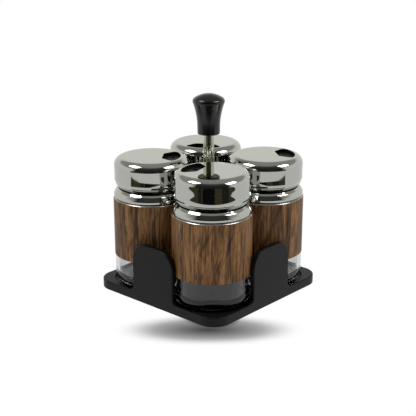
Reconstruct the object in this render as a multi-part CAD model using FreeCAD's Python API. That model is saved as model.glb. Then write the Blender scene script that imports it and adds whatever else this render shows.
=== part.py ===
import FreeCAD, Part
import math
import os
from FreeCAD import Vector

# Set of four spice jars that stand in a moulded carrier with a centre rod and knob.
# Units are millimetres. +Z is up, and the origin is the middle of the carrier's underside.
# The jars stand at the corners of a square: front (+x -y), right (+x +y), back (-x +y), left (-x -y).

# Carrier plate
PLATE_SIDE = 122.0
PLATE_CORNER_R = 14.0
PLATE_HEIGHT = 6.6
PLATE_EDGE_R = 0.8
RIM_WALL = 1.9
TOP_WALL = 2.2
JAR_PITCH = 59.6
POCKET_R = 29.3
POCKET_DEPTH = 2.4
POCKET_FLOOR_WALL = 1.9
POCKET_CORNER_R = 2.0
RIB_WALL = 1.5
RIB_RECESS = 0.6

# Upright tabs at the middle of each side
TAB_WIDTH = 40.0
TAB_TOP = 44.8
TAB_THICKNESS = 4.6
TAB_CORNER_R = 12.5
TAB_FOOT_R = 4.5
TAB_EDGE_R = 0.9
TAB_JAR_GAP = 0.6

# Rod, its hub and its screw
ROD_R = 4.0
ROD_TOP = 138.0
ROD_FIT = 0.05
HUB_R = 7.5
HUB_TOP = 12.0
HUB_FLOOR_BOTTOM = 3.2
HUB_EDGE_R = 1.2
ROD_EDGE_R = 0.5
SPIGOT_R = 2.5
SPIGOT_LENGTH = 3.0
SCREW_R = 1.6
SCREW_DEPTH = 14.0
SCREW_HEAD_R = 3.8
SCREW_HEAD_HEIGHT = 1.9
SCREW_HEAD_EDGE_R = 1.2
SCREW_TIP_R = 0.6
SCREW_SLOT_LENGTH = 4.2
SCREW_SLOT_WIDTH = 0.8
SCREW_SLOT_DEPTH = 1.1
WASHER_R = 5.5
WASHER_THICKNESS = 0.8
WASHER_FIT = 0.3
WASHER_ROOM = 0.5

# Knob
KNOB_BOTTOM = 117.5
KNOB_WAIST_R = 8.3
KNOB_WAIST_LENGTH = 4.5
KNOB_FLANK_R = 9.1
KNOB_FLANK_Z = 131.4
KNOB_FLANK_END = (11.65, 140.9)
KNOB_EDGE_MIDDLE = (11.6, 142.5)
KNOB_TOP = 147.2
KNOB_DOME_R = 10.6
KNOB_DOME_RISE = 3.3
KNOB_FOOT_R = 0.8

# Glass jar, with heights above the carrier's underside
GLASS_R = 28.3
GLASS_WALL = 2.6
GLASS_BOTTOM = PLATE_HEIGHT - POCKET_DEPTH
GLASS_BASE = 6.0
GLASS_HEEL_R = 8.5
GLASS_INNER_HEEL_R = 5.0
SHOULDER_Z = 71.0
SHOULDER_R = 1.2
SHOULDER_WALL = 2.7
NECK_R = 22.9
NECK_ROOT_R = 1.5
NECK_BORE_R = 20.4
NECK_TOP = 96.2
NECK_EDGE_R = 0.6
BORE_ROOT_R = 2.0
INNER_SLOPE_HEIGHT = 4.5
INNER_SHOULDER_R = 3.0

# Printed steel sleeve and chrome collar
SLEEVE_SHEET = 0.35
SLEEVE_FIT = 0.05
SLEEVE_BOTTOM = 27.2
SLEEVE_TOP = SHOULDER_Z + SLEEVE_SHEET
SLEEVE_HEM_R = 24.8
COLLAR_SHEET = 0.5
COLLAR_FIT = 0.3

# Outside of the collar from its neck edge down to its foot: radius, height, corner radius
COLLAR_TOP = 79.2
COLLAR_LIP = (25.2, COLLAR_TOP, 0.8)
COLLAR_BEAD = (26.7, 76.7, 2.5)
COLLAR_RIM_TOP = (27.85, 74.3, 2.0)
COLLAR_RIM_BOTTOM = (27.85, 72.7, 0.9)
COLLAR_FOOT = (27.0, SLEEVE_TOP, 0.3)
COLLAR_FOOT_INNER_R = 25.4

# Chrome cap
CAP_R = 27.5
CAP_TOP = 101.35
CAP_SHOULDER_R = 5.0
CAP_SHEET = 0.5

# Lower part of the cap's wall, which folds in to a crease and ends in a rolled lip
CAP_FOLD = (CAP_R, 84.6, 3.5)
CAP_CREASE = (26.35, 82.8, 0.55)
CAP_LIP_EDGE = (26.6, 81.5, 0.8)
CAP_LIP_END = (25.6, 80.4)
OPENING_NEAR_R = 9.8
OPENING_FAR_R = 22.0
OPENING_HALF_ANGLE = 40.0
OPENING_CORNER_R = 2.6

# Sifter insert under the cap
INSERT_FLOOR_TOP = 98.8
INSERT_FLOOR_WALL = 1.8
INSERT_LAND_Z = CAP_TOP - CAP_SHEET
INSERT_TURN_FIT = 0.08
INSERT_GUIDE_R = CAP_R - CAP_SHEET - INSERT_TURN_FIT
INSERT_GUIDE_BOTTOM = 85.8
INSERT_GUIDE_TOP = 88.8
INSERT_GUIDE_LEAD = 0.4
INSERT_OUTER_R = 26.7
INSERT_TOP_DROP = 0.3
INSERT_EDGE_ROOM = 0.2
INSERT_TOP_EDGE_R = CAP_SHOULDER_R - CAP_SHEET - INSERT_EDGE_ROOM
INSERT_STEP_R = 26.2
INSERT_STEP_Z = 83.9
INSERT_SKIRT_R = 24.6
INSERT_SKIRT_BOTTOM = 79.6
INSERT_SKIRT_EDGE_R = 0.4
INSERT_BORE_R = NECK_R + 0.3
INSERT_PLUG_R = NECK_BORE_R - 0.3
INSERT_PLUG_WALL = 1.2
INSERT_PLUG_BOTTOM = 93.4
INSERT_PLUG_EDGE_R = 0.5
INSERT_BOSS_R = 4.5
INSERT_DISH_R = 22.1
INSERT_RIB_WALL = 1.2
SIFT_HOLE_R = 1.5
# Rows of sift holes: radius of the row, number of holes, degrees from hole to hole
SIFT_ROWS = ((11.5, 3, 34.0), (16.2, 4, 30.0))
CUT_ROOM = 4.0
POUR_HOLE_FAR_R = 18.4
SECTOR_ANGLE = 120.0

# Which way each cap's opening faces, counter-clockwise from +x
JARS = (
    ("front", 1, -1, 195.0),
    ("right", 1, 1, 52.0),
    ("back", -1, 1, -55.0),
    ("left", -1, -1, 38.0),
)

UP = Vector(0, 0, 1)
ORIGIN = Vector(0, 0, 0)


def corner_points(previous, corner, following, radius):
    """Start, middle and end of the arc that rounds one corner of an outline."""
    to_previous = (previous - corner).normalize()
    to_following = (following - corner).normalize()
    half_angle = to_previous.getAngle(to_following) / 2
    reach = radius / math.tan(half_angle)
    centre_way = (to_previous + to_following).normalize()
    middle_reach = radius / math.sin(half_angle) - radius
    return (
        corner + to_previous * reach,
        corner + centre_way * middle_reach,
        corner + to_following * reach,
    )


def rounded_edges(corners, closed):
    """Edges through (x, y, corner radius) points of a flat outline, in the XY plane."""
    points = [Vector(c[0], c[1], 0) for c in corners]
    radii = [c[2] if len(c) > 2 else 0 for c in corners]
    edges = []
    pen = None
    first = None
    count = len(points)
    for i, point in enumerate(points):
        ends_line = not closed and i in (0, count - 1)
        if radii[i] and not ends_line:
            start, middle, end = corner_points(points[i - 1], point, points[(i + 1) % count], radii[i])
        else:
            start = middle = end = point
        if pen is not None and (start - pen).Length > 1e-6:
            edges.append(Part.LineSegment(pen, start).toShape())
        if (end - start).Length > 1e-6:
            edges.append(Part.Arc(start, middle, end).toShape())
        pen = end
        first = start if first is None else first
    if closed and (first - pen).Length > 1e-6:
        edges.append(Part.LineSegment(pen, first).toShape())
    return edges


def outline(corners):
    return Part.Wire(rounded_edges(corners, True))


def stand_up(shape):
    """Turn a section drawn as (radius, height) into the XZ plane."""
    shape.rotate(ORIGIN, Vector(1, 0, 0), 90)
    return shape


def revolved(corners):
    face = stand_up(Part.Face(outline(corners)))
    return face.revolve(ORIGIN, UP, 360)


def revolved_sheet(corners, thickness):
    """Sheet metal of one thickness whose outside follows the open line of corners."""
    line = Part.Wire(rounded_edges(corners, False))
    section = line.makeOffset2D(thickness, 2, True, True)
    return stand_up(section).revolve(ORIGIN, UP, 360)


def cylinder(radius, bottom, top, x=0.0, y=0.0):
    return Part.makeCylinder(radius, top - bottom, Vector(x, y, bottom))


def jar_centre(side_x, side_y):
    return Vector(side_x * JAR_PITCH / 2, side_y * JAR_PITCH / 2, 0)


def rounded_square(half, corner_r, bottom, top):
    corners = [
        (half, half, corner_r),
        (-half, half, corner_r),
        (-half, -half, corner_r),
        (half, -half, corner_r),
    ]
    prism = Part.Face(outline(corners)).extrude(UP * (top - bottom))
    prism.translate(UP * bottom)
    return prism


def edges_at_height(shape, height):
    return [e for e in shape.Edges if all(abs(v.Z - height) < 1e-4 for v in e.Vertexes)]


def plate():
    half = PLATE_SIDE / 2
    body = rounded_square(half, PLATE_CORNER_R, 0, PLATE_HEIGHT)
    body = body.makeFillet(PLATE_EDGE_R, edges_at_height(body, PLATE_HEIGHT))
    underside = rounded_square(half - RIM_WALL, PLATE_CORNER_R - RIM_WALL, 0, PLATE_HEIGHT - TOP_WALL)
    return body.cut(underside)


def tab():
    """Upright tongue on the side that faces -y, flush with the plate's side."""
    half = TAB_WIDTH / 2
    foot = half + TAB_FOOT_R
    sink = PLATE_HEIGHT - TOP_WALL / 2
    corners = [
        (-foot, sink),
        (foot, sink),
        (foot, PLATE_HEIGHT),
        (half, PLATE_HEIGHT, TAB_FOOT_R - 0.1),
        (half, TAB_TOP, TAB_CORNER_R),
        (-half, TAB_TOP, TAB_CORNER_R),
        (-half, PLATE_HEIGHT, TAB_FOOT_R - 0.1),
        (-foot, PLATE_HEIGHT),
    ]
    face = stand_up(Part.Face(outline(corners)))
    tongue = face.extrude(Vector(0, TAB_THICKNESS, 0))
    lowest = PLATE_HEIGHT + TAB_FOOT_R
    rounded = [e for e in tongue.Edges if max(v.Z for v in e.Vertexes) > lowest and abs(e.tangentAt(
        e.FirstParameter).y) < 0.5]
    tongue = tongue.makeFillet(TAB_EDGE_R, rounded)
    tongue.translate(Vector(0, -PLATE_SIDE / 2, 0))
    return tongue


def pocket_wall():
    """Cup under the plate that carries one jar: a ring wall and a floor."""
    bottom = GLASS_BOTTOM - POCKET_FLOOR_WALL
    return cylinder(POCKET_R + RIB_WALL, bottom, PLATE_HEIGHT - TOP_WALL / 2)


def pocket_recess():
    return revolved([
        (0, GLASS_BOTTOM),
        (POCKET_R, GLASS_BOTTOM, POCKET_CORNER_R),
        (POCKET_R, PLATE_HEIGHT + 1),
        (0, PLATE_HEIGHT + 1),
    ])


def underside_ribs():
    """Straight ribs from the hub to the middle of each side and to each corner."""
    depth = PLATE_HEIGHT - TOP_WALL / 2 - RIB_RECESS
    length = PLATE_SIDE - RIM_WALL
    ribs = []
    for angle in (0, 45, 90, 135):
        reach = length if angle % 90 == 0 else length * math.sqrt(2) - PLATE_CORNER_R * 0.9
        rib = Part.makeBox(reach, RIB_WALL, depth, Vector(-reach / 2, -RIB_WALL / 2, RIB_RECESS))
        rib.rotate(ORIGIN, UP, angle)
        ribs.append(rib)
    return ribs


def stand_base():
    solid = plate()
    tongue = tab()
    tabs = []
    for quarter in range(4):
        copy = tongue.copy()
        copy.rotate(ORIGIN, UP, 90 * quarter)
        tabs.append(copy)
    cups = []
    for _, side_x, side_y, _ in JARS:
        cup = pocket_wall()
        cup.translate(jar_centre(side_x, side_y))
        cups.append(cup)
    hub = cylinder(HUB_R, HUB_FLOOR_BOTTOM, HUB_TOP)
    hub = hub.makeFillet(HUB_EDGE_R, edges_at_height(hub, HUB_TOP))
    solid = solid.multiFuse(tabs + cups + underside_ribs() + [hub])
    cuts = []
    for _, side_x, side_y, _ in JARS:
        centre = jar_centre(side_x, side_y)
        recess = pocket_recess()
        recess.translate(centre)
        room = cylinder(POCKET_R + TAB_JAR_GAP / 2, PLATE_HEIGHT, TAB_TOP + 1, centre.x, centre.y)
        cuts += [recess, room]
    cuts.append(cylinder(ROD_R + ROD_FIT, PLATE_HEIGHT, HUB_TOP + 1))
    cuts.append(cylinder(SPIGOT_R + ROD_FIT, -1, PLATE_HEIGHT))
    cuts.append(cylinder(WASHER_R + WASHER_ROOM, -1, HUB_FLOOR_BOTTOM))
    for cut in cuts:
        solid = solid.cut(cut)
    return solid.removeSplitter()


def centre_rod():
    bar = revolved([
        (0, PLATE_HEIGHT - SPIGOT_LENGTH),
        (SPIGOT_R, PLATE_HEIGHT - SPIGOT_LENGTH),
        (SPIGOT_R, PLATE_HEIGHT),
        (ROD_R, PLATE_HEIGHT),
        (ROD_R, ROD_TOP, ROD_EDGE_R),
        (0, ROD_TOP),
    ])
    tapping = cylinder(SCREW_R + ROD_FIT, 0, PLATE_HEIGHT + SCREW_DEPTH + 1)
    return bar.cut(tapping)


def rod_washer():
    bottom = HUB_FLOOR_BOTTOM - WASHER_THICKNESS
    ring = cylinder(WASHER_R, bottom, HUB_FLOOR_BOTTOM)
    return ring.cut(cylinder(SCREW_R + WASHER_FIT, bottom, HUB_FLOOR_BOTTOM))


def rod_screw():
    head_top = HUB_FLOOR_BOTTOM - WASHER_THICKNESS
    head_bottom = head_top - SCREW_HEAD_HEIGHT
    screw = revolved([
        (0, head_bottom),
        (SCREW_HEAD_R, head_bottom, SCREW_HEAD_EDGE_R),
        (SCREW_HEAD_R, head_top),
        (SCREW_R, head_top),
        (SCREW_R, PLATE_HEIGHT + SCREW_DEPTH, SCREW_TIP_R),
        (0, PLATE_HEIGHT + SCREW_DEPTH),
    ])
    for angle in (0, 90):
        slot = Part.makeBox(SCREW_SLOT_LENGTH, SCREW_SLOT_WIDTH, SCREW_SLOT_DEPTH,
                            Vector(-SCREW_SLOT_LENGTH / 2, -SCREW_SLOT_WIDTH / 2, head_bottom))
        slot.rotate(ORIGIN, UP, angle)
        screw = screw.cut(slot)
    return screw


def knob():
    """Flared grip: a concave flank below a rounded edge and a shallow spherical dome."""
    dome_edge = Vector(KNOB_DOME_R, KNOB_TOP - KNOB_DOME_RISE, 0)
    dome_sphere_r = (KNOB_DOME_R ** 2 + KNOB_DOME_RISE ** 2) / (2 * KNOB_DOME_RISE)
    half_turn = math.asin(KNOB_DOME_R / dome_sphere_r) / 2
    dome_middle = Vector(dome_sphere_r * math.sin(half_turn),
                         KNOB_TOP - dome_sphere_r * (1 - math.cos(half_turn)), 0)
    flank_start = Vector(KNOB_WAIST_R, KNOB_BOTTOM + KNOB_WAIST_LENGTH, 0)
    flank_middle = Vector(KNOB_FLANK_R, KNOB_FLANK_Z, 0)
    flank_end = Vector(*KNOB_FLANK_END, 0)
    edge_middle = Vector(*KNOB_EDGE_MIDDLE, 0)
    foot = Vector(KNOB_WAIST_R, KNOB_BOTTOM + KNOB_FOOT_R, 0)
    foot_inset = KNOB_FOOT_R * (1 - math.sqrt(0.5))
    foot_middle = Vector(KNOB_WAIST_R - foot_inset, KNOB_BOTTOM + foot_inset, 0)
    foot_end = Vector(KNOB_WAIST_R - KNOB_FOOT_R, KNOB_BOTTOM, 0)
    bottom = Vector(0, KNOB_BOTTOM, 0)
    top = Vector(0, KNOB_TOP, 0)
    section = Part.Wire([
        Part.LineSegment(bottom, foot_end).toShape(),
        Part.Arc(foot_end, foot_middle, foot).toShape(),
        Part.LineSegment(foot, flank_start).toShape(),
        Part.Arc(flank_start, flank_middle, flank_end).toShape(),
        Part.Arc(flank_end, edge_middle, dome_edge).toShape(),
        Part.Arc(dome_edge, dome_middle, top).toShape(),
        Part.LineSegment(top, bottom).toShape(),
    ])
    grip = stand_up(Part.Face(section)).revolve(ORIGIN, UP, 360)
    return grip.cut(cylinder(ROD_R + ROD_FIT, KNOB_BOTTOM - 1, ROD_TOP))


def glass_jar():
    inner_r = GLASS_R - GLASS_WALL
    inner_shoulder_z = SHOULDER_Z - SHOULDER_WALL
    return revolved([
        (0, GLASS_BOTTOM),
        (GLASS_R, GLASS_BOTTOM, GLASS_HEEL_R),
        (GLASS_R, SHOULDER_Z, SHOULDER_R),
        (NECK_R, SHOULDER_Z, NECK_ROOT_R),
        (NECK_R, NECK_TOP, NECK_EDGE_R),
        (NECK_BORE_R, NECK_TOP, NECK_EDGE_R),
        (NECK_BORE_R, inner_shoulder_z, BORE_ROOT_R),
        (inner_r, inner_shoulder_z - INNER_SLOPE_HEIGHT, INNER_SHOULDER_R),
        (inner_r, GLASS_BOTTOM + GLASS_BASE, GLASS_INNER_HEEL_R),
        (0, GLASS_BOTTOM + GLASS_BASE),
    ])


def wood_sleeve():
    outer_r = GLASS_R + SLEEVE_FIT + SLEEVE_SHEET
    return revolved_sheet([
        (SLEEVE_HEM_R, SLEEVE_TOP),
        (outer_r, SLEEVE_TOP, SHOULDER_R + SLEEVE_SHEET + SLEEVE_FIT),
        (outer_r, SLEEVE_BOTTOM),
    ], SLEEVE_SHEET)


def collar():
    """Beaded ring round the neck that stands on the sleeve's hem."""
    return revolved_sheet([
        (NECK_R + COLLAR_FIT, COLLAR_TOP),
        COLLAR_LIP,
        COLLAR_BEAD,
        COLLAR_RIM_TOP,
        COLLAR_RIM_BOTTOM,
        COLLAR_FOOT,
        (COLLAR_FOOT_INNER_R, SLEEVE_TOP),
    ], COLLAR_SHEET)


def opening_prism(near_r, far_r, bottom, top):
    """Fan-shaped hole about the jar's axis, centred on +x, with rounded corners."""
    turn = 2 * OPENING_HALF_ANGLE
    height = top - bottom
    base = Vector(0, 0, bottom)
    wedge = Part.makeCylinder(far_r, height, base, UP, turn)
    wedge = wedge.cut(Part.makeCylinder(near_r, height, base))
    wedge.rotate(ORIGIN, UP, -OPENING_HALF_ANGLE)
    upright = [e for e in wedge.Edges if abs(e.tangentAt(e.FirstParameter).z) > 0.9]
    return wedge.makeFillet(OPENING_CORNER_R, upright)


def cap(facing):
    """Pressed cap that turns on the insert, with a rolled bead at its lower edge."""
    shell = revolved_sheet([
        (0, CAP_TOP),
        (CAP_R, CAP_TOP, CAP_SHOULDER_R),
        CAP_FOLD,
        CAP_CREASE,
        CAP_LIP_EDGE,
        CAP_LIP_END,
    ], CAP_SHEET)
    hole = opening_prism(OPENING_NEAR_R, OPENING_FAR_R, CAP_TOP - CUT_ROOM, CAP_TOP + 1)
    shell = shell.cut(hole)
    shell.rotate(ORIGIN, UP, facing)
    return shell


def sifter_insert(facing):
    """Moulded insert that plugs the neck: a dished floor with a sift, a pour and a shut sector."""
    wall_top = INSERT_LAND_Z - INSERT_TOP_DROP
    body = revolved([
        (0, INSERT_FLOOR_TOP - INSERT_FLOOR_WALL),
        (INSERT_PLUG_R - INSERT_PLUG_WALL, INSERT_FLOOR_TOP - INSERT_FLOOR_WALL),
        (INSERT_PLUG_R - INSERT_PLUG_WALL, INSERT_PLUG_BOTTOM),
        (INSERT_PLUG_R, INSERT_PLUG_BOTTOM, INSERT_PLUG_EDGE_R),
        (INSERT_PLUG_R, NECK_TOP),
        (INSERT_BORE_R, NECK_TOP),
        (INSERT_BORE_R, INSERT_SKIRT_BOTTOM),
        (INSERT_SKIRT_R, INSERT_SKIRT_BOTTOM, INSERT_SKIRT_EDGE_R),
        (INSERT_SKIRT_R, INSERT_STEP_Z),
        (INSERT_STEP_R, INSERT_STEP_Z),
        (INSERT_GUIDE_R, INSERT_GUIDE_BOTTOM),
        (INSERT_GUIDE_R, INSERT_GUIDE_TOP),
        (INSERT_OUTER_R, INSERT_GUIDE_TOP + INSERT_GUIDE_LEAD),
        (INSERT_OUTER_R, wall_top, INSERT_TOP_EDGE_R),
        (INSERT_DISH_R, wall_top),
        (INSERT_DISH_R, INSERT_FLOOR_TOP),
        (INSERT_BOSS_R, INSERT_FLOOR_TOP),
        (INSERT_BOSS_R, INSERT_LAND_Z),
        (0, INSERT_LAND_Z),
    ])
    ribs = []
    for sector in range(3):
        rib = Part.makeBox(INSERT_DISH_R, INSERT_RIB_WALL, INSERT_LAND_Z - INSERT_FLOOR_TOP,
                           Vector(0, -INSERT_RIB_WALL / 2, INSERT_FLOOR_TOP))
        rib.rotate(ORIGIN, UP, (sector - 0.5) * SECTOR_ANGLE)
        ribs.append(rib)
    body = body.multiFuse(ribs)
    holes = []
    for radius, count, step in SIFT_ROWS:
        for index in range(count):
            angle = math.radians((index - (count - 1) / 2) * step)
            holes.append(cylinder(SIFT_HOLE_R, INSERT_FLOOR_TOP - CUT_ROOM, INSERT_FLOOR_TOP + 1,
                                  radius * math.cos(angle), radius * math.sin(angle)))
    pour = opening_prism(OPENING_NEAR_R, POUR_HOLE_FAR_R, INSERT_FLOOR_TOP - CUT_ROOM, INSERT_FLOOR_TOP + 1)
    pour.rotate(ORIGIN, UP, SECTOR_ANGLE)
    for hole in holes + [pour]:
        body = body.cut(hole)
    body.rotate(ORIGIN, UP, facing)
    return body


def export(name, shape):
    solids = shape.Solids
    print(name, "solids", len(solids), "valid", shape.isValid(), "volume", round(shape.Volume, 1))
    if len(solids) == 1:
        shape = solids[0]
    shape.exportStep("parts/" + name + ".step")


os.makedirs("parts", exist_ok=True)
export("stand_base", stand_base())
export("centre_rod", centre_rod())
export("rod_washer", rod_washer())
export("rod_screw", rod_screw())
export("knob", knob())
for jar_name, side_x, side_y, facing in JARS:
    pieces = {
        "glass_jar_": glass_jar(),
        "wood_sleeve_": wood_sleeve(),
        "collar_": collar(),
        "sifter_insert_": sifter_insert(facing),
        "cap_": cap(facing),
    }
    for prefix, piece in pieces.items():
        piece.translate(jar_centre(side_x, side_y))
        export(prefix + jar_name, piece)
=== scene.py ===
import math

import bmesh
import bpy
from mathutils import Matrix, Vector

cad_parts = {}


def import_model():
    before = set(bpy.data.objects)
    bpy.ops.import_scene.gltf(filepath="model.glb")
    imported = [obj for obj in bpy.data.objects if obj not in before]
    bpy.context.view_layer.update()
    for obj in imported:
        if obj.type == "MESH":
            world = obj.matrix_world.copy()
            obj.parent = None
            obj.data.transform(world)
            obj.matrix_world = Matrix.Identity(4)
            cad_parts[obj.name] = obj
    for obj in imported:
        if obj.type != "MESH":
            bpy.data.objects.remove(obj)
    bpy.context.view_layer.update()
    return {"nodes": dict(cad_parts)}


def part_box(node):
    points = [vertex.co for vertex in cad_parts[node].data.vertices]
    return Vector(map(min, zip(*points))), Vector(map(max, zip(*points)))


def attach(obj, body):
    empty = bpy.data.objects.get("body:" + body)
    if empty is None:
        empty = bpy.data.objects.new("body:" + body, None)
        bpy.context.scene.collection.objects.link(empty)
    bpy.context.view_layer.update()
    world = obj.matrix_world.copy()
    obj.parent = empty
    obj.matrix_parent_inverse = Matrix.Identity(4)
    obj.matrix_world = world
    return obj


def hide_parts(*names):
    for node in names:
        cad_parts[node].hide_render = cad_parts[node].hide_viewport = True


# Looks of the spice jar set. Lengths are metres unless a comment says otherwise, and +Z is up.
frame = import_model()
nodes = frame["nodes"]

MM = 0.001
JARS = ("front", "right", "back", "left")
WHITE = (1, 1, 1, 1)

# Camera of the photograph
CAMERA_PLACE = Vector((446.79, -498.81, 279.57)) * MM
CAMERA_RIGHT = Vector((0.74488, 0.66720, 0.0))
CAMERA_BACK = Vector((0.63403, -0.70785, 0.31138))
CAMERA_LENS = 81.27
CAMERA_SENSOR = 36.0
CAMERA_SHIFT_X = -0.00166

# Floor, with a soft shadow painted in front of the stand's nearest corner.
# The paint takes over from the white floor as the shadow's depth goes from 0 to its edge value.
FLOOR_COLOUR = (0.93, 0.93, 0.93, 1)
FLOOR_HALF = 6.0
FLOOR_DROP = 0.0001
SHADOW_FORWARD = 0.084
SHADOW_HALF_WIDTH = 0.070
SHADOW_HALF_DEPTH = 0.027
SHADOW_DEPTH = 0.72
SHADOW_EDGE = 0.5
DISPLAY_GAMMA = 2.2

# Surroundings that reflections show: a round white table, a dark floor beyond it, and a room.
# A band of the dark floor is its first and last turn from the camera in degrees, its layer above
# the white floor and its colour.
MIRRORED_WHITE = 0.78
TABLE_RADIUS = 0.366
TABLE_FAR = 8.5
BAND_STEP = 5
DIM = (0.02, 0.02, 0.015, 1)
FLOOR_BANDS = {
    "olive_floor": (-64, 62, 1, (0.055, 0.048, 0.024, 1)),
    "left_dim_band": (-35, -26, 2, DIM),
    "right_dim_band": (25, 43, 2, DIM),
    "black_band": (-23, 7, 2, (0.006, 0.006, 0.006, 1)),
}

# Grey tones of the room at sines of the angle above the floor, behind the camera and elsewhere.
# The second gives way to the first between two cosines of the turn from the camera.
ROOM_FRONT = ((0.0, 0.018), (0.5, 0.03), (0.80, 0.07), (0.86, 0.16), (0.91, 0.28), (0.97, 0.34))
ROOM_BACK = ((0.0, 0.83), (0.40, 0.83), (0.55, 0.36), (1.0, 0.34))
ROOM_TURN = (0.45, 0.70)
ROOM_BLUE_SHARE = 0.95

# Lamps, each at a turn from the camera and an angle above the floor, in degrees
DOME_LEVEL = 0.45
SOFTBOX_DISTANCE = 1.3
SOFTBOX_SIZE = (0.57, 0.40)
SOFTBOX_POWER = 6.5
SOFTBOXES = {"softbox_left": (-76, 56), "softbox_right": (70, 47)}

# A haze is the lowest and the highest roughness, met at the two values of a noise's spread.
# A cell is the width of a noise's spots.
NOISE_SPREAD = (0.3, 0.7)
NOISE_SHIFT = (1.0, 0.7, 1.3)

# Metals
CHROME_COLOUR = (0.50, 0.51, 0.475, 1)
CHROME_HAZE = (0.012, 0.035)
CHROME_NOISE_SPREAD = (0.35, 0.7)
CHROME_HAZE_CELL = 9 * MM
CHROME_WAVE_CELL = 16 * MM
CHROME_WAVE_DEPTH = 0.4 * MM
CHROME_WAVE_STRENGTH = 0.035
ROD_COLOUR = (0.62, 0.61, 0.50, 1)
ROD_HAZE = (0.16, 0.22)
STEEL_COLOUR = (0.42, 0.42, 0.40, 1)
STEEL_HAZE = (0.22, 0.36)
STEEL_SCRATCH_WIDTH = 0.3 * MM
STEEL_SCRATCH_LENGTH = 8 * MM

# Plastics
CARRIER_COLOUR = (0.0030, 0.0030, 0.0031, 1)
INSERT_COLOUR = (0.0042, 0.0042, 0.0040, 1)
CLOUD_CELL = 14 * MM
CLOUD_DARK = 0.8
CLOUD_LIGHT = 1.25
PLASTIC_HAZE_CELL = 3 * MM
PLASTIC_HAZE_HALF = 0.04
GRAIN_CELL = 0.35 * MM
GRAIN_DEPTH = 0.05 * MM

# Glass
GLASS_COLOUR = (0.80, 0.815, 0.81, 1)
GLASS_IOR = 1.5
GLASS_HAZE = (0.0, 0.02)
GLASS_HAZE_CELL = 12 * MM
GLASS_WAVE_CELL = 14 * MM
GLASS_WAVE_DEPTH = 0.5 * MM
GLASS_WAVE_STRENGTH = 0.05

# Printed wood: its colours at values of the grain, the noises that make the grain and their shares
WOOD_COLOURS = (
    (0.43, (0.030, 0.016, 0.007, 1)),
    (0.535, (0.150, 0.067, 0.020, 1)),
    (0.66, (0.275, 0.138, 0.050, 1)),
)
WOOD_BROAD = {
    "cell": 5.5 * MM, "length": 75 * MM,
    "detail": 2.0, "roughness": 0.5, "distortion": 0.3,
}
WOOD_STREAK = {
    "cell": 1.5 * MM, "length": 26 * MM,
    "detail": 4.0, "roughness": 0.62, "distortion": 0.5, "shift": 3.1,
}
WOOD_PORE = {
    "cell": 0.5 * MM, "length": 6 * MM,
    "detail": 2.0, "roughness": 0.6, "distortion": 0.2, "shift": 7.7,
}
WOOD_WANDER_SCALE = 55.0
BROAD_SHARE = 0.38
STREAK_SHARE = 0.62
WANDER_SHARE = 0.10

# Pores and leaning veins darken the wood between two values of their noises
PORE_SPREAD = (0.38, 0.48)
PORE_TONE = 0.48
VEIN_WIDTH = 4.5 * MM
VEIN_LENGTH = 45 * MM
VEIN_SPREAD = (0.56, 0.66)
VEIN_TONE = 0.45
VEIN_SLANT = math.radians(17)
VEIN_SLANT_AXIS = (0.67, -0.74, 0.0)

# Print on the sleeve, which ends at the bare rim and where the wall no longer faces outward
PRINT_HAZE = (0.42, 0.54)
PRINT_SPECULAR = 0.25
PRINT_GRAIN_DEPTH = 0.03 * MM
PRINT_GRAIN_STRENGTH = 0.12
SLEEVE_MIDDLE_R = 28 * MM
OUTWARD_START = 0.5
OUTWARD_FULL = 0.6
BARE_RIM = 0.6 * MM
BARE_RIM_BLEND = 0.1 * MM
BARE_ROUGHNESS = (0.22, 0.22, 0.22, 1)

# Outlines of the bright pieces as (radius, height, rounding), in millimetres, from the top down.
# The front cap widens a little towards its fold and the others narrow, as their reflections show.
CAP_TOP = 101.35
CAP_BEAD = ((26.7, 82.8, 0.5), (26.75, 81.9, 0.7), (25.25, 79.8, 0.0))
FRONT_CAP_OUTLINE = (
    (0.0, CAP_TOP, 0.0), (27.43, CAP_TOP, 5.7), (27.5, 92.4, 0.0), (27.523, 90.3, 0.0),
    (27.546, 88.9, 0.0), (27.592, 87.0, 0.0), (27.62, 86.2, 0.0), (27.65, 84.5, 1.4)) + CAP_BEAD
CAP_OUTLINE = (
    (0.0, CAP_TOP, 0.0), (27.66, CAP_TOP, 5.8), (27.42, 88.4, 0.0), (27.46, 87.2, 0.0),
    (27.52, 84.5, 1.4)) + CAP_BEAD
COLLAR_OUTLINE = (
    (23.2, 78.5, 0.0), (25.0, 78.5, 0.6), (26.6, 76.9, 2.6), (28.2, 74.1, 1.8),
    (28.2, 72.4, 0.8), (27.2, 71.4, 0.3), (25.4, 71.4, 0.0))
SHEET = 0.5
ARC_SUPPORT = 0.05

# Fan-shaped opening of a cap, in millimetres, and the way it faces in degrees
OPENING_NEAR_R = 9.8
OPENING_FAR_R = 21.7
OPENING_HALF_ANGLE = math.radians(40)
OPENING_CORNER_R = 2.6
OPENING_BOTTOM = 99.0
OPENING_TOP = 103.0
OPENING_FACING = {"front": 195, "right": 52, "back": -55, "left": 38}

# Fineness of the spun meshes
SPIN_STEPS = 192
ARC_STEPS = 8
SAME_PLACE = 1e-7
SHARP_ANGLE = math.radians(35)


def fill(tree, socket, value):
    """Link a socket to another one, or give it a plain value."""
    if isinstance(value, bpy.types.NodeSocket):
        tree.links.new(value, socket)
    else:
        socket.default_value = value


def add(tree, kind, inputs=None, **settings):
    """A shader node with its settings and its inputs."""
    made = tree.nodes.new(kind)
    for name, value in settings.items():
        setattr(made, name, value)
    for name, value in (inputs or {}).items():
        fill(tree, made.inputs[name], value)
    return made


def math_node(tree, operation, first, second=0.0, third=0.0, clamp=False):
    made = add(tree, "ShaderNodeMath", operation=operation, use_clamp=clamp)
    for socket, value in zip(made.inputs, (first, second, third)):
        fill(tree, socket, value)
    return made.outputs[0]


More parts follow.
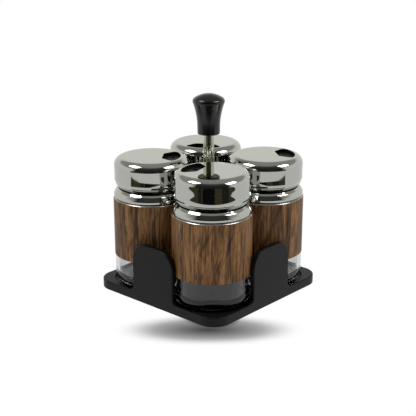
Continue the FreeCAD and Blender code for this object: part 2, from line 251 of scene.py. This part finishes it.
def squares(tree, first, second):
    """Sum of the squares of two values."""
    second_square = math_node(tree, "MULTIPLY", second, second)
    return math_node(tree, "MULTIPLY_ADD", first, first, second_square)


def remap(tree, value, low, high, to_low=0.0, to_high=1.0, smooth=False):
    """Carry a value from one range over to another, and hold it there."""
    made = add(tree, "ShaderNodeMapRange", {
        "Value": value, "From Min": low, "From Max": high, "To Min": to_low, "To Max": to_high})
    if smooth:
        made.interpolation_type = "SMOOTHSTEP"
    return made.outputs["Result"]


def mixed(tree, factor, first, second, blend="MIX"):
    """Colour blended from two others by a factor."""
    made = add(tree, "ShaderNodeMix", data_type="RGBA", blend_type=blend)
    fill(tree, made.inputs[0], factor)
    fill(tree, made.inputs[6], first)
    fill(tree, made.inputs[7], second)
    return made.outputs[2]


def colour_ramp(tree, value, stops):
    """Colours at steps of a value from 0 to 1, blended between them."""
    ramp = add(tree, "ShaderNodeValToRGB", {"Fac": value})
    marks = ramp.color_ramp.elements
    while len(marks) < len(stops):
        marks.new(1.0)
    for mark, (place, colour) in zip(marks, stops):
        mark.position = place
        mark.color = colour
    return ramp.outputs["Color"]


def along(tree, vector, direction):
    """How far a vector reaches along a fixed direction."""
    product = add(tree, "ShaderNodeVectorMath", {0: vector, 1: direction}, operation="DOT_PRODUCT")
    return product.outputs["Value"]


def stretched_noise(tree, cell, length, detail=3.0, roughness=0.55, distortion=0.0, shift=0.0):
    """Noise in cells of that width, drawn out to that length along Z."""
    place = add(tree, "ShaderNodeTexCoord").outputs["Object"]
    mapping = add(tree, "ShaderNodeMapping", {"Vector": place})
    mapping.inputs["Scale"].default_value = (1 / cell, 1 / cell, 1 / length)
    mapping.inputs["Location"].default_value = [shift * share for share in NOISE_SHIFT]
    noise = add(tree, "ShaderNodeTexNoise", {
        "Vector": mapping.outputs["Vector"], "Scale": 1.0, "Detail": detail,
        "Roughness": roughness, "Distortion": distortion})
    return noise.outputs["Fac"]


def fine_noise(tree, cell, detail=2.0):
    return stretched_noise(tree, cell, cell, detail)


def new_material(name, **shader_values):
    """A material with these values on its shader."""
    material = bpy.data.materials.new(name)
    material.use_nodes = True
    tree = material.node_tree
    shader = tree.nodes["Principled BSDF"]
    for key, value in shader_values.items():
        shader.inputs[key.replace("_", " ")].default_value = value
    return material, tree, shader


def emptied_material(name):
    """A material with nothing but its output, and the socket of that output."""
    material = bpy.data.materials.new(name)
    material.use_nodes = True
    tree = material.node_tree
    tree.nodes.clear()
    return material, tree, add(tree, "ShaderNodeOutputMaterial").inputs["Surface"]


def set_haze(tree, shader, noise, haze, spread=NOISE_SPREAD):
    """Let a noise carry the roughness from its lowest to its highest value."""
    fill(tree, shader.inputs["Roughness"], remap(tree, noise, *spread, *haze))


def set_bump(tree, shader, height, strength, depth):
    bump = add(tree, "ShaderNodeBump", {"Strength": strength, "Distance": depth, "Height": height})
    fill(tree, shader.inputs["Normal"], bump.outputs["Normal"])


def chrome(name, colour, haze):
    """Bright metal, slightly wavy, with an uneven haze."""
    material, tree, shader = new_material(name, Base_Color=colour, Metallic=1.0)
    set_haze(tree, shader, fine_noise(tree, CHROME_HAZE_CELL), haze, CHROME_NOISE_SPREAD)
    waves = fine_noise(tree, CHROME_WAVE_CELL, 1.0)
    set_bump(tree, shader, waves, CHROME_WAVE_STRENGTH, CHROME_WAVE_DEPTH)
    return material


def bare_steel():
    """Dull steel with fine upright scratches."""
    material, tree, shader = new_material("bare_steel", Base_Color=STEEL_COLOUR, Metallic=1.0)
    scratches = stretched_noise(tree, STEEL_SCRATCH_WIDTH, STEEL_SCRATCH_LENGTH)
    set_haze(tree, shader, scratches, STEEL_HAZE)
    return material


def moulded_plastic(name, colour, roughness, specular=0.2, grain=0.08):
    """Black plastic, slightly clouded, with a fine moulded grain."""
    material, tree, shader = new_material(name, Base_Color=colour, Specular_IOR_Level=specular)
    darker = [c * CLOUD_DARK for c in colour[:3]] + [1]
    lighter = [c * CLOUD_LIGHT for c in colour[:3]] + [1]
    clouded = mixed(tree, fine_noise(tree, CLOUD_CELL), darker, lighter)
    fill(tree, shader.inputs["Base Color"], clouded)
    haze = (roughness - PLASTIC_HAZE_HALF, roughness + PLASTIC_HAZE_HALF)
    set_haze(tree, shader, fine_noise(tree, PLASTIC_HAZE_CELL), haze)
    set_bump(tree, shader, fine_noise(tree, GRAIN_CELL), grain, GRAIN_DEPTH)
    return material


def clear_glass():
    """Clear glass, slightly grey and wavy."""
    material, tree, shader = new_material(
        "clear_glass", Base_Color=GLASS_COLOUR, IOR=GLASS_IOR, Transmission_Weight=1.0)
    set_haze(tree, shader, fine_noise(tree, GLASS_HAZE_CELL), GLASS_HAZE)
    waves = fine_noise(tree, GLASS_WAVE_CELL, 1.0)
    set_bump(tree, shader, waves, GLASS_WAVE_STRENGTH, GLASS_WAVE_DEPTH)
    return material


def slanted_veins(tree, place):
    """Tone of dark veins that lean across the upright grain."""
    leaning = add(tree, "ShaderNodeVectorRotate", {
        "Vector": place, "Axis": VEIN_SLANT_AXIS, "Angle": VEIN_SLANT})
    drawn_out = add(tree, "ShaderNodeMapping", {"Vector": leaning.outputs["Vector"]})
    drawn_out.inputs["Scale"].default_value = (1 / VEIN_WIDTH, 1 / VEIN_WIDTH, 1 / VEIN_LENGTH)
    veins = add(tree, "ShaderNodeTexNoise", {
        "Vector": drawn_out.outputs["Vector"], "Scale": 1.0, "Detail": 3.0, "Distortion": 0.4})
    return remap(tree, veins.outputs["Fac"], *VEIN_SPREAD, 1.0, VEIN_TONE)


def wood(tree, streak, pore):
    """Colour of the wood print from its noises of streaks and pores."""
    place = add(tree, "ShaderNodeTexCoord").outputs["Object"]
    wander = add(tree, "ShaderNodeTexNoise", {
        "Vector": place, "Scale": WOOD_WANDER_SCALE, "Detail": 2.0})
    grain = math_node(tree, "MULTIPLY", stretched_noise(tree, **WOOD_BROAD), BROAD_SHARE)
    grain = math_node(tree, "MULTIPLY_ADD", streak, STREAK_SHARE, grain)
    grain = math_node(tree, "MULTIPLY_ADD", wander.outputs["Fac"], WANDER_SHARE, grain)
    pore_tone = remap(tree, pore, *PORE_SPREAD, PORE_TONE, 1.0)
    marks = math_node(tree, "MULTIPLY", pore_tone, slanted_veins(tree, place))
    return mixed(tree, 1.0, colour_ramp(tree, grain, WOOD_COLOURS), marks, "MULTIPLY")


def printed_part(tree, jar):
    """1 on the outer side of the sleeve below its rim, and 0 on bare steel."""
    low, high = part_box("wood_sleeve_" + jar)
    axis = (low + high) / 2
    coords = add(tree, "ShaderNodeTexCoord")
    place = add(tree, "ShaderNodeSeparateXYZ", {"Vector": coords.outputs["Object"]})
    normal = add(tree, "ShaderNodeSeparateXYZ", {"Vector": coords.outputs["Normal"]})
    away_x = math_node(tree, "SUBTRACT", place.outputs["X"], axis.x)
    away_y = math_node(tree, "SUBTRACT", place.outputs["Y"], axis.y)
    outward_y = math_node(tree, "MULTIPLY", away_y, normal.outputs["Y"])
    outward = math_node(tree, "MULTIPLY_ADD", away_x, normal.outputs["X"], outward_y)
    start = OUTWARD_START * SLEEVE_MIDDLE_R
    full = OUTWARD_FULL * SLEEVE_MIDDLE_R
    faces_out = remap(tree, outward, start, full)
    rim = high.z - BARE_RIM
    below_rim = remap(tree, place.outputs["Z"], rim - BARE_RIM_BLEND, rim, 1.0, 0.0)
    return math_node(tree, "MULTIPLY", faces_out, below_rim, clamp=True)


def printed_steel(jar):
    """Wood grain printed on the outside of a steel sleeve, with bare steel inside and on the rims."""
    material, tree, shader = new_material("wood_print_" + jar, Specular_IOR_Level=PRINT_SPECULAR)
    streak = stretched_noise(tree, **WOOD_STREAK)
    pore = stretched_noise(tree, **WOOD_PORE)
    printed = printed_part(tree, jar)
    colour = mixed(tree, printed, STEEL_COLOUR, wood(tree, streak, pore))
    fill(tree, shader.inputs["Base Color"], colour)
    fill(tree, shader.inputs["Metallic"], math_node(tree, "SUBTRACT", 1.0, printed))
    haze = remap(tree, streak, *NOISE_SPREAD, *PRINT_HAZE)
    fill(tree, shader.inputs["Roughness"], mixed(tree, printed, BARE_ROUGHNESS, haze))
    set_bump(tree, shader, pore, PRINT_GRAIN_STRENGTH, PRINT_GRAIN_DEPTH)
    return material


def wear(node_name, material):
    """Give a CAD node this material in all its slots."""
    piece = nodes[node_name]
    if not piece.material_slots:
        piece.data.materials.append(material)
    for slot in piece.material_slots:
        slot.material = material


def placed(name, mesh, material=None):
    """A piece in the scene with this mesh and material."""
    if material:
        mesh.materials.append(material)
    piece = bpy.data.objects.new(name, mesh)
    bpy.context.scene.collection.objects.link(piece)
    return piece


def mesh_piece(name, vertices, faces, material=None):
    mesh = bpy.data.meshes.new(name)
    mesh.from_pydata(vertices, [], faces)
    return placed(name, mesh, material)


def around(angle):
    """Unit vector of the plane at an angle from +x."""
    return Vector((math.cos(angle), math.sin(angle)))


def rounded_outline(corners):
    """Points of an outline whose corners are rounded, with one more beside each end of an arc."""
    points = [Vector(corners[0][:2])]
    for before, here, after in zip(corners, corners[1:], corners[2:]):
        corner = Vector(here[:2])
        rounding = here[2]
        if not rounding:
            points.append(corner)
            continue
        back = (Vector(before[:2]) - corner).normalized()
        onward = (Vector(after[:2]) - corner).normalized()
        half = back.angle(onward) / 2
        reach = rounding / math.tan(half)
        middle = corner + (back + onward).normalized() * rounding / math.sin(half)
        first = corner + back * reach - middle
        last = corner + onward * reach - middle
        turn = math.copysign(math.pi - 2 * half, first.x * last.y - first.y * last.x)
        points.append(corner + back * (reach + ARC_SUPPORT))
        for step in range(ARC_STEPS + 1):
            points.append(middle + Matrix.Rotation(turn * step / ARC_STEPS, 2) @ first)
        points.append(corner + onward * (reach + ARC_SUPPORT))
    return points + [Vector(corners[-1][:2])]


def sheet_outline(corners):
    """Closed outline of a thin sheet whose outer side has these corners."""
    outer = rounded_outline(corners)
    inner = []
    for index, point in enumerate(outer):
        way = (outer[min(index + 1, len(outer) - 1)] - outer[max(index - 1, 0)]).normalized()
        inner.append(point + Vector((way.y, -way.x)) * SHEET)
    return outer + inner[::-1]


def spun(name, points, centre, material):
    """Solid of revolution of a closed outline about an upright axis."""
    built = bmesh.new()
    rings = []
    for step in range(SPIN_STEPS):
        angle = 2 * math.pi * step / SPIN_STEPS
        rings.append([built.verts.new((
            centre.x + radius * MM * math.cos(angle),
            centre.y + radius * MM * math.sin(angle),
            height * MM)) for radius, height in points])
    for ring, following in zip(rings, rings[1:] + rings[:1]):
        for here in range(len(points)):
            after = (here + 1) % len(points)
            if points[here].x > 0 or points[after].x > 0:
                built.faces.new((ring[here], ring[after], following[after], following[here]))
    bmesh.ops.remove_doubles(built, verts=built.verts, dist=SAME_PLACE)
    bmesh.ops.recalc_face_normals(built, faces=built.faces)
    mesh = bpy.data.meshes.new(name)
    built.to_mesh(mesh)
    built.free()
    return placed(name, mesh, material)


def fan_outline():
    """Outline of a cap's opening about the jar's axis, centred on +x."""
    far_middle = OPENING_FAR_R - OPENING_CORNER_R
    near_middle = OPENING_NEAR_R + OPENING_CORNER_R
    far_turn = OPENING_HALF_ANGLE - math.asin(OPENING_CORNER_R / far_middle)
    near_turn = OPENING_HALF_ANGLE - math.asin(OPENING_CORNER_R / near_middle)
    side = OPENING_HALF_ANGLE + math.pi / 2
    arcs = ((far_middle, far_turn, far_turn, side), (near_middle, near_turn, side, math.pi))
    corners = []
    for distance, turn, first, last in arcs:
        middle = around(turn) * distance
        for step in range(ARC_STEPS + 1):
            angle = first + (last - first) * step / ARC_STEPS
            corners.append(middle + around(angle) * OPENING_CORNER_R)
    far_edge = []
    for step in range(1, 2 * ARC_STEPS):
        far_edge.append(around(far_turn * (step / ARC_STEPS - 1)) * OPENING_FAR_R)
    return far_edge + corners + [Vector((point.x, -point.y)) for point in reversed(corners)]


def cut_opening(piece, centre, facing):
    """Cut the fan-shaped opening through a cap's top."""
    turned = Matrix.Rotation(math.radians(facing), 2)
    outline = [turned @ point for point in fan_outline()]
    count = len(outline)
    vertices = []
    for height in (OPENING_BOTTOM, OPENING_TOP):
        for point in outline:
            vertices.append((centre.x + point.x * MM, centre.y + point.y * MM, height * MM))
    faces = [tuple(range(count - 1, -1, -1)), tuple(range(count, 2 * count))]
    for here in range(count):
        after = (here + 1) % count
        faces.append((here, after, count + after, count + here))
    cutter = mesh_piece("opening", vertices, faces)
    cut = piece.modifiers.new("opening", "BOOLEAN")
    cut.object = cutter
    cut.solver = "EXACT"
    depsgraph = bpy.context.evaluated_depsgraph_get()
    opened = bpy.data.meshes.new_from_object(piece.evaluated_get(depsgraph))
    piece.modifiers.clear()
    piece.data = opened
    bpy.data.objects.remove(cutter)


def bright_piece(kind, jar, corners, body, material):
    """A chrome cap or collar with a finer outline than the CAD piece whose place it takes."""
    node_name = kind + "_" + jar
    low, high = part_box(node_name)
    centre = (low + high) / 2
    piece = spun("bright_" + node_name, sheet_outline(corners), centre, material)
    if kind == "cap":
        cut_opening(piece, centre, OPENING_FACING[jar])
    piece.data.shade_smooth()
    piece.data.set_sharp_from_angle(angle=SHARP_ANGLE)
    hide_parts(node_name)
    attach(piece, body + "_" + jar)


def dress():
    """Give every piece of the set its material."""
    polished = chrome("chrome", CHROME_COLOUR, CHROME_HAZE)
    steel = bare_steel()
    insert = moulded_plastic("insert_plastic", INSERT_COLOUR, roughness=0.45)
    glass = clear_glass()
    wear("stand_base", moulded_plastic("carrier_plastic", CARRIER_COLOUR, roughness=0.40))
    wear("knob", moulded_plastic(
        "knob_plastic", CARRIER_COLOUR, roughness=0.22, specular=0.5, grain=0.02))
    wear("centre_rod", chrome("rod_chrome", ROD_COLOUR, ROD_HAZE))
    wear("rod_washer", steel)
    wear("rod_screw", steel)
    for jar in JARS:
        wear("glass_jar_" + jar, glass)
        wear("wood_sleeve_" + jar, printed_steel(jar))
        bright_piece("collar", jar, COLLAR_OUTLINE, "jar", polished)
        cap_outline = FRONT_CAP_OUTLINE if jar == "front" else CAP_OUTLINE
        bright_piece("cap", jar, cap_outline, "dial", polished)
        wear("sifter_insert_" + jar, insert)


def camera_way(turn, up):
    """Direction at a turn about Z from the photograph's camera, and an angle above the floor."""
    level = around(math.atan2(CAMERA_BACK.y, CAMERA_BACK.x) + math.radians(turn))
    rise = math.radians(up)
    return Vector((level.x * math.cos(rise), level.y * math.cos(rise), math.sin(rise)))


def seen_white(tree):
    """Whether a ray sees the white surroundings, and how white they are, less so in reflections."""
    path = add(tree, "ShaderNodeLightPath")
    direct = math_node(tree, "ADD", path.outputs["Is Camera Ray"], path.outputs["Is Transmission Ray"])
    seen = math_node(tree, "ADD", direct, path.outputs["Is Glossy Ray"], clamp=True)
    level = math_node(tree, "MULTIPLY_ADD", path.outputs["Is Glossy Ray"], MIRRORED_WHITE - 1, 1.0)
    return seen, level


def front_shadow(tree):
    """Depth of the soft shadow on the floor in front of the stand's nearest corner, 0 to 1."""
    place = add(tree, "ShaderNodeNewGeometry").outputs["Position"]
    across = math_node(tree, "DIVIDE", along(tree, place, CAMERA_RIGHT), SHADOW_HALF_WIDTH)
    forward = math_node(tree, "SUBTRACT", along(tree, place, camera_way(0, 0)), SHADOW_FORWARD)
    forward = math_node(tree, "DIVIDE", forward, SHADOW_HALF_DEPTH)
    distance = math_node(tree, "SQRT", squares(tree, across, forward))
    return math_node(tree, "SUBTRACT", 1.0, distance, clamp=True)


def floor():
    """Pale floor that looks white, apart from the soft shadow painted on it."""
    material, tree, surface = emptied_material("pale_floor")
    seen, level = seen_white(tree)
    shadow = front_shadow(tree)
    # Painted shadow: camera rays see the floor darkened by the pool's depth, on top of the real shade
    # from the lamps; other rays see its plain colour.
    kept = math_node(tree, "MULTIPLY_ADD", shadow, -SHADOW_DEPTH, 1.0)
    tone = math_node(tree, "POWER", kept, DISPLAY_GAMMA)
    from_camera = add(tree, "ShaderNodeLightPath").outputs["Is Camera Ray"]
    colour_with_painted_shadow = mixed(tree, from_camera, FLOOR_COLOUR, tone)
    paint = add(tree, "ShaderNodeBsdfDiffuse", {"Color": colour_with_painted_shadow})
    white = add(tree, "ShaderNodeEmission", {"Color": WHITE, "Strength": level})
    edge = remap(tree, shadow, 0.0, SHADOW_EDGE, smooth=True)
    shaded = math_node(tree, "MULTIPLY", edge, from_camera)
    factor = math_node(tree, "SUBTRACT", seen, shaded, clamp=True)
    blend = add(tree, "ShaderNodeMixShader", {
        0: factor, 1: paint.outputs["BSDF"], 2: white.outputs["Emission"]})
    fill(tree, surface, blend.outputs["Shader"])
    signs = ((-1, -1), (1, -1), (1, 1), (-1, 1))
    corners = [(x * FLOOR_HALF, y * FLOOR_HALF, -FLOOR_DROP) for x, y in signs]
    mesh_piece("floor", corners, [(0, 1, 2, 3)], material)


def reflection_only(piece):
    """Let nothing but reflections show this piece."""
    piece.visible_camera = False
    piece.visible_diffuse = False
    piece.visible_transmission = False
    piece.visible_volume_scatter = False
    piece.visible_shadow = False


def glow(name, colour):
    """A plain colour without shading."""
    material, tree, surface = emptied_material(name)
    light = add(tree, "ShaderNodeEmission", {"Color": colour, "Strength": 1.0})
    fill(tree, surface, light.outputs["Emission"])
    return material


def floor_band(name, first_turn, last_turn, layer, colour):
    """Part of the dark floor beyond the round white table."""
    steps = max(2, round((last_turn - first_turn) / BAND_STEP))
    height = Vector((0, 0, layer * FLOOR_DROP))
    vertices = []
    for step in range(steps + 1):
        turn = first_turn + (last_turn - first_turn) * step / steps
        for radius in (TABLE_RADIUS, TABLE_FAR):
            vertices.append(camera_way(turn, 0) * radius + height)
    faces = [(i, i + 1, i + 3, i + 2) for i in range(0, 2 * steps, 2)]
    reflection_only(mesh_piece(name, vertices, faces, glow(name, colour)))


def dark_floor():
    for name, band in FLOOR_BANDS.items():
        floor_band(name, *band)


def softbox(name, turn, up):
    """A lamp that shines on the middle of the floor."""
    light = bpy.data.lights.new(name, "AREA")
    light.shape = "RECTANGLE"
    light.size, light.size_y = SOFTBOX_SIZE
    light.energy = SOFTBOX_POWER
    lamp = bpy.data.objects.new(name, light)
    lamp.visible_camera = False
    way = camera_way(turn, up)
    lamp.location = way * SOFTBOX_DISTANCE
    lamp.rotation_euler = way.to_track_quat("Z", "Y").to_euler()
    bpy.context.scene.collection.objects.link(lamp)


def lamps():
    for name, (turn, up) in SOFTBOXES.items():
        softbox(name, turn, up)


def room_tones(tree, up, stops):
    """Nearly grey tones of the room from the floor up."""
    colours = [(place, (tone, tone, tone * ROOM_BLUE_SHARE, 1)) for place, tone in stops]
    return colour_ramp(tree, up, colours)


def mirrored_room(tree):
    """Room that reflections show: dark behind the camera, pale behind the object, grey above."""
    way = add(tree, "ShaderNodeTexCoord").outputs["Generated"]
    up = along(tree, way, (0, 0, 1))
    forward = along(tree, way, camera_way(0, 0))
    across = along(tree, way, CAMERA_RIGHT)
    level_length = math_node(tree, "SQRT", squares(tree, forward, across))
    towards = math_node(tree, "DIVIDE", forward, level_length)
    front = room_tones(tree, up, ROOM_FRONT)
    back = room_tones(tree, up, ROOM_BACK)
    return mixed(tree, remap(tree, towards, *ROOM_TURN, smooth=True), back, front)


def world():
    """Soft even light, a white background, and the room for reflections."""
    made = bpy.data.worlds.new("studio")
    bpy.context.scene.world = made
    made.use_nodes = True
    tree = made.node_tree
    tree.nodes.clear()
    seen, _ = seen_white(tree)
    glossy = add(tree, "ShaderNodeLightPath").outputs["Is Glossy Ray"]
    shown = mixed(tree, glossy, WHITE, mirrored_room(tree))
    soft = add(tree, "ShaderNodeBackground", {"Color": WHITE, "Strength": DOME_LEVEL})
    background = add(tree, "ShaderNodeBackground", {"Color": shown, "Strength": 1.0})
    blend = add(tree, "ShaderNodeMixShader", {
        0: seen, 1: soft.outputs["Background"], 2: background.outputs["Background"]})
    output = add(tree, "ShaderNodeOutputWorld")
    fill(tree, output.inputs["Surface"], blend.outputs["Shader"])


def camera():
    data = bpy.data.cameras.new("camera")
    data.lens = CAMERA_LENS
    data.sensor_width = CAMERA_SENSOR
    data.shift_x = CAMERA_SHIFT_X
    eye = bpy.data.objects.new("camera", data)
    bpy.context.scene.collection.objects.link(eye)
    up = CAMERA_BACK.cross(CAMERA_RIGHT)
    turned = Matrix((CAMERA_RIGHT, up, CAMERA_BACK)).transposed()
    eye.matrix_world = Matrix.Translation(CAMERA_PLACE) @ turned.to_4x4()
    bpy.context.scene.camera = eye


dress()
floor()
dark_floor()
lamps()
world()
camera()
bpy.context.scene.view_settings.view_transform = "Standard"
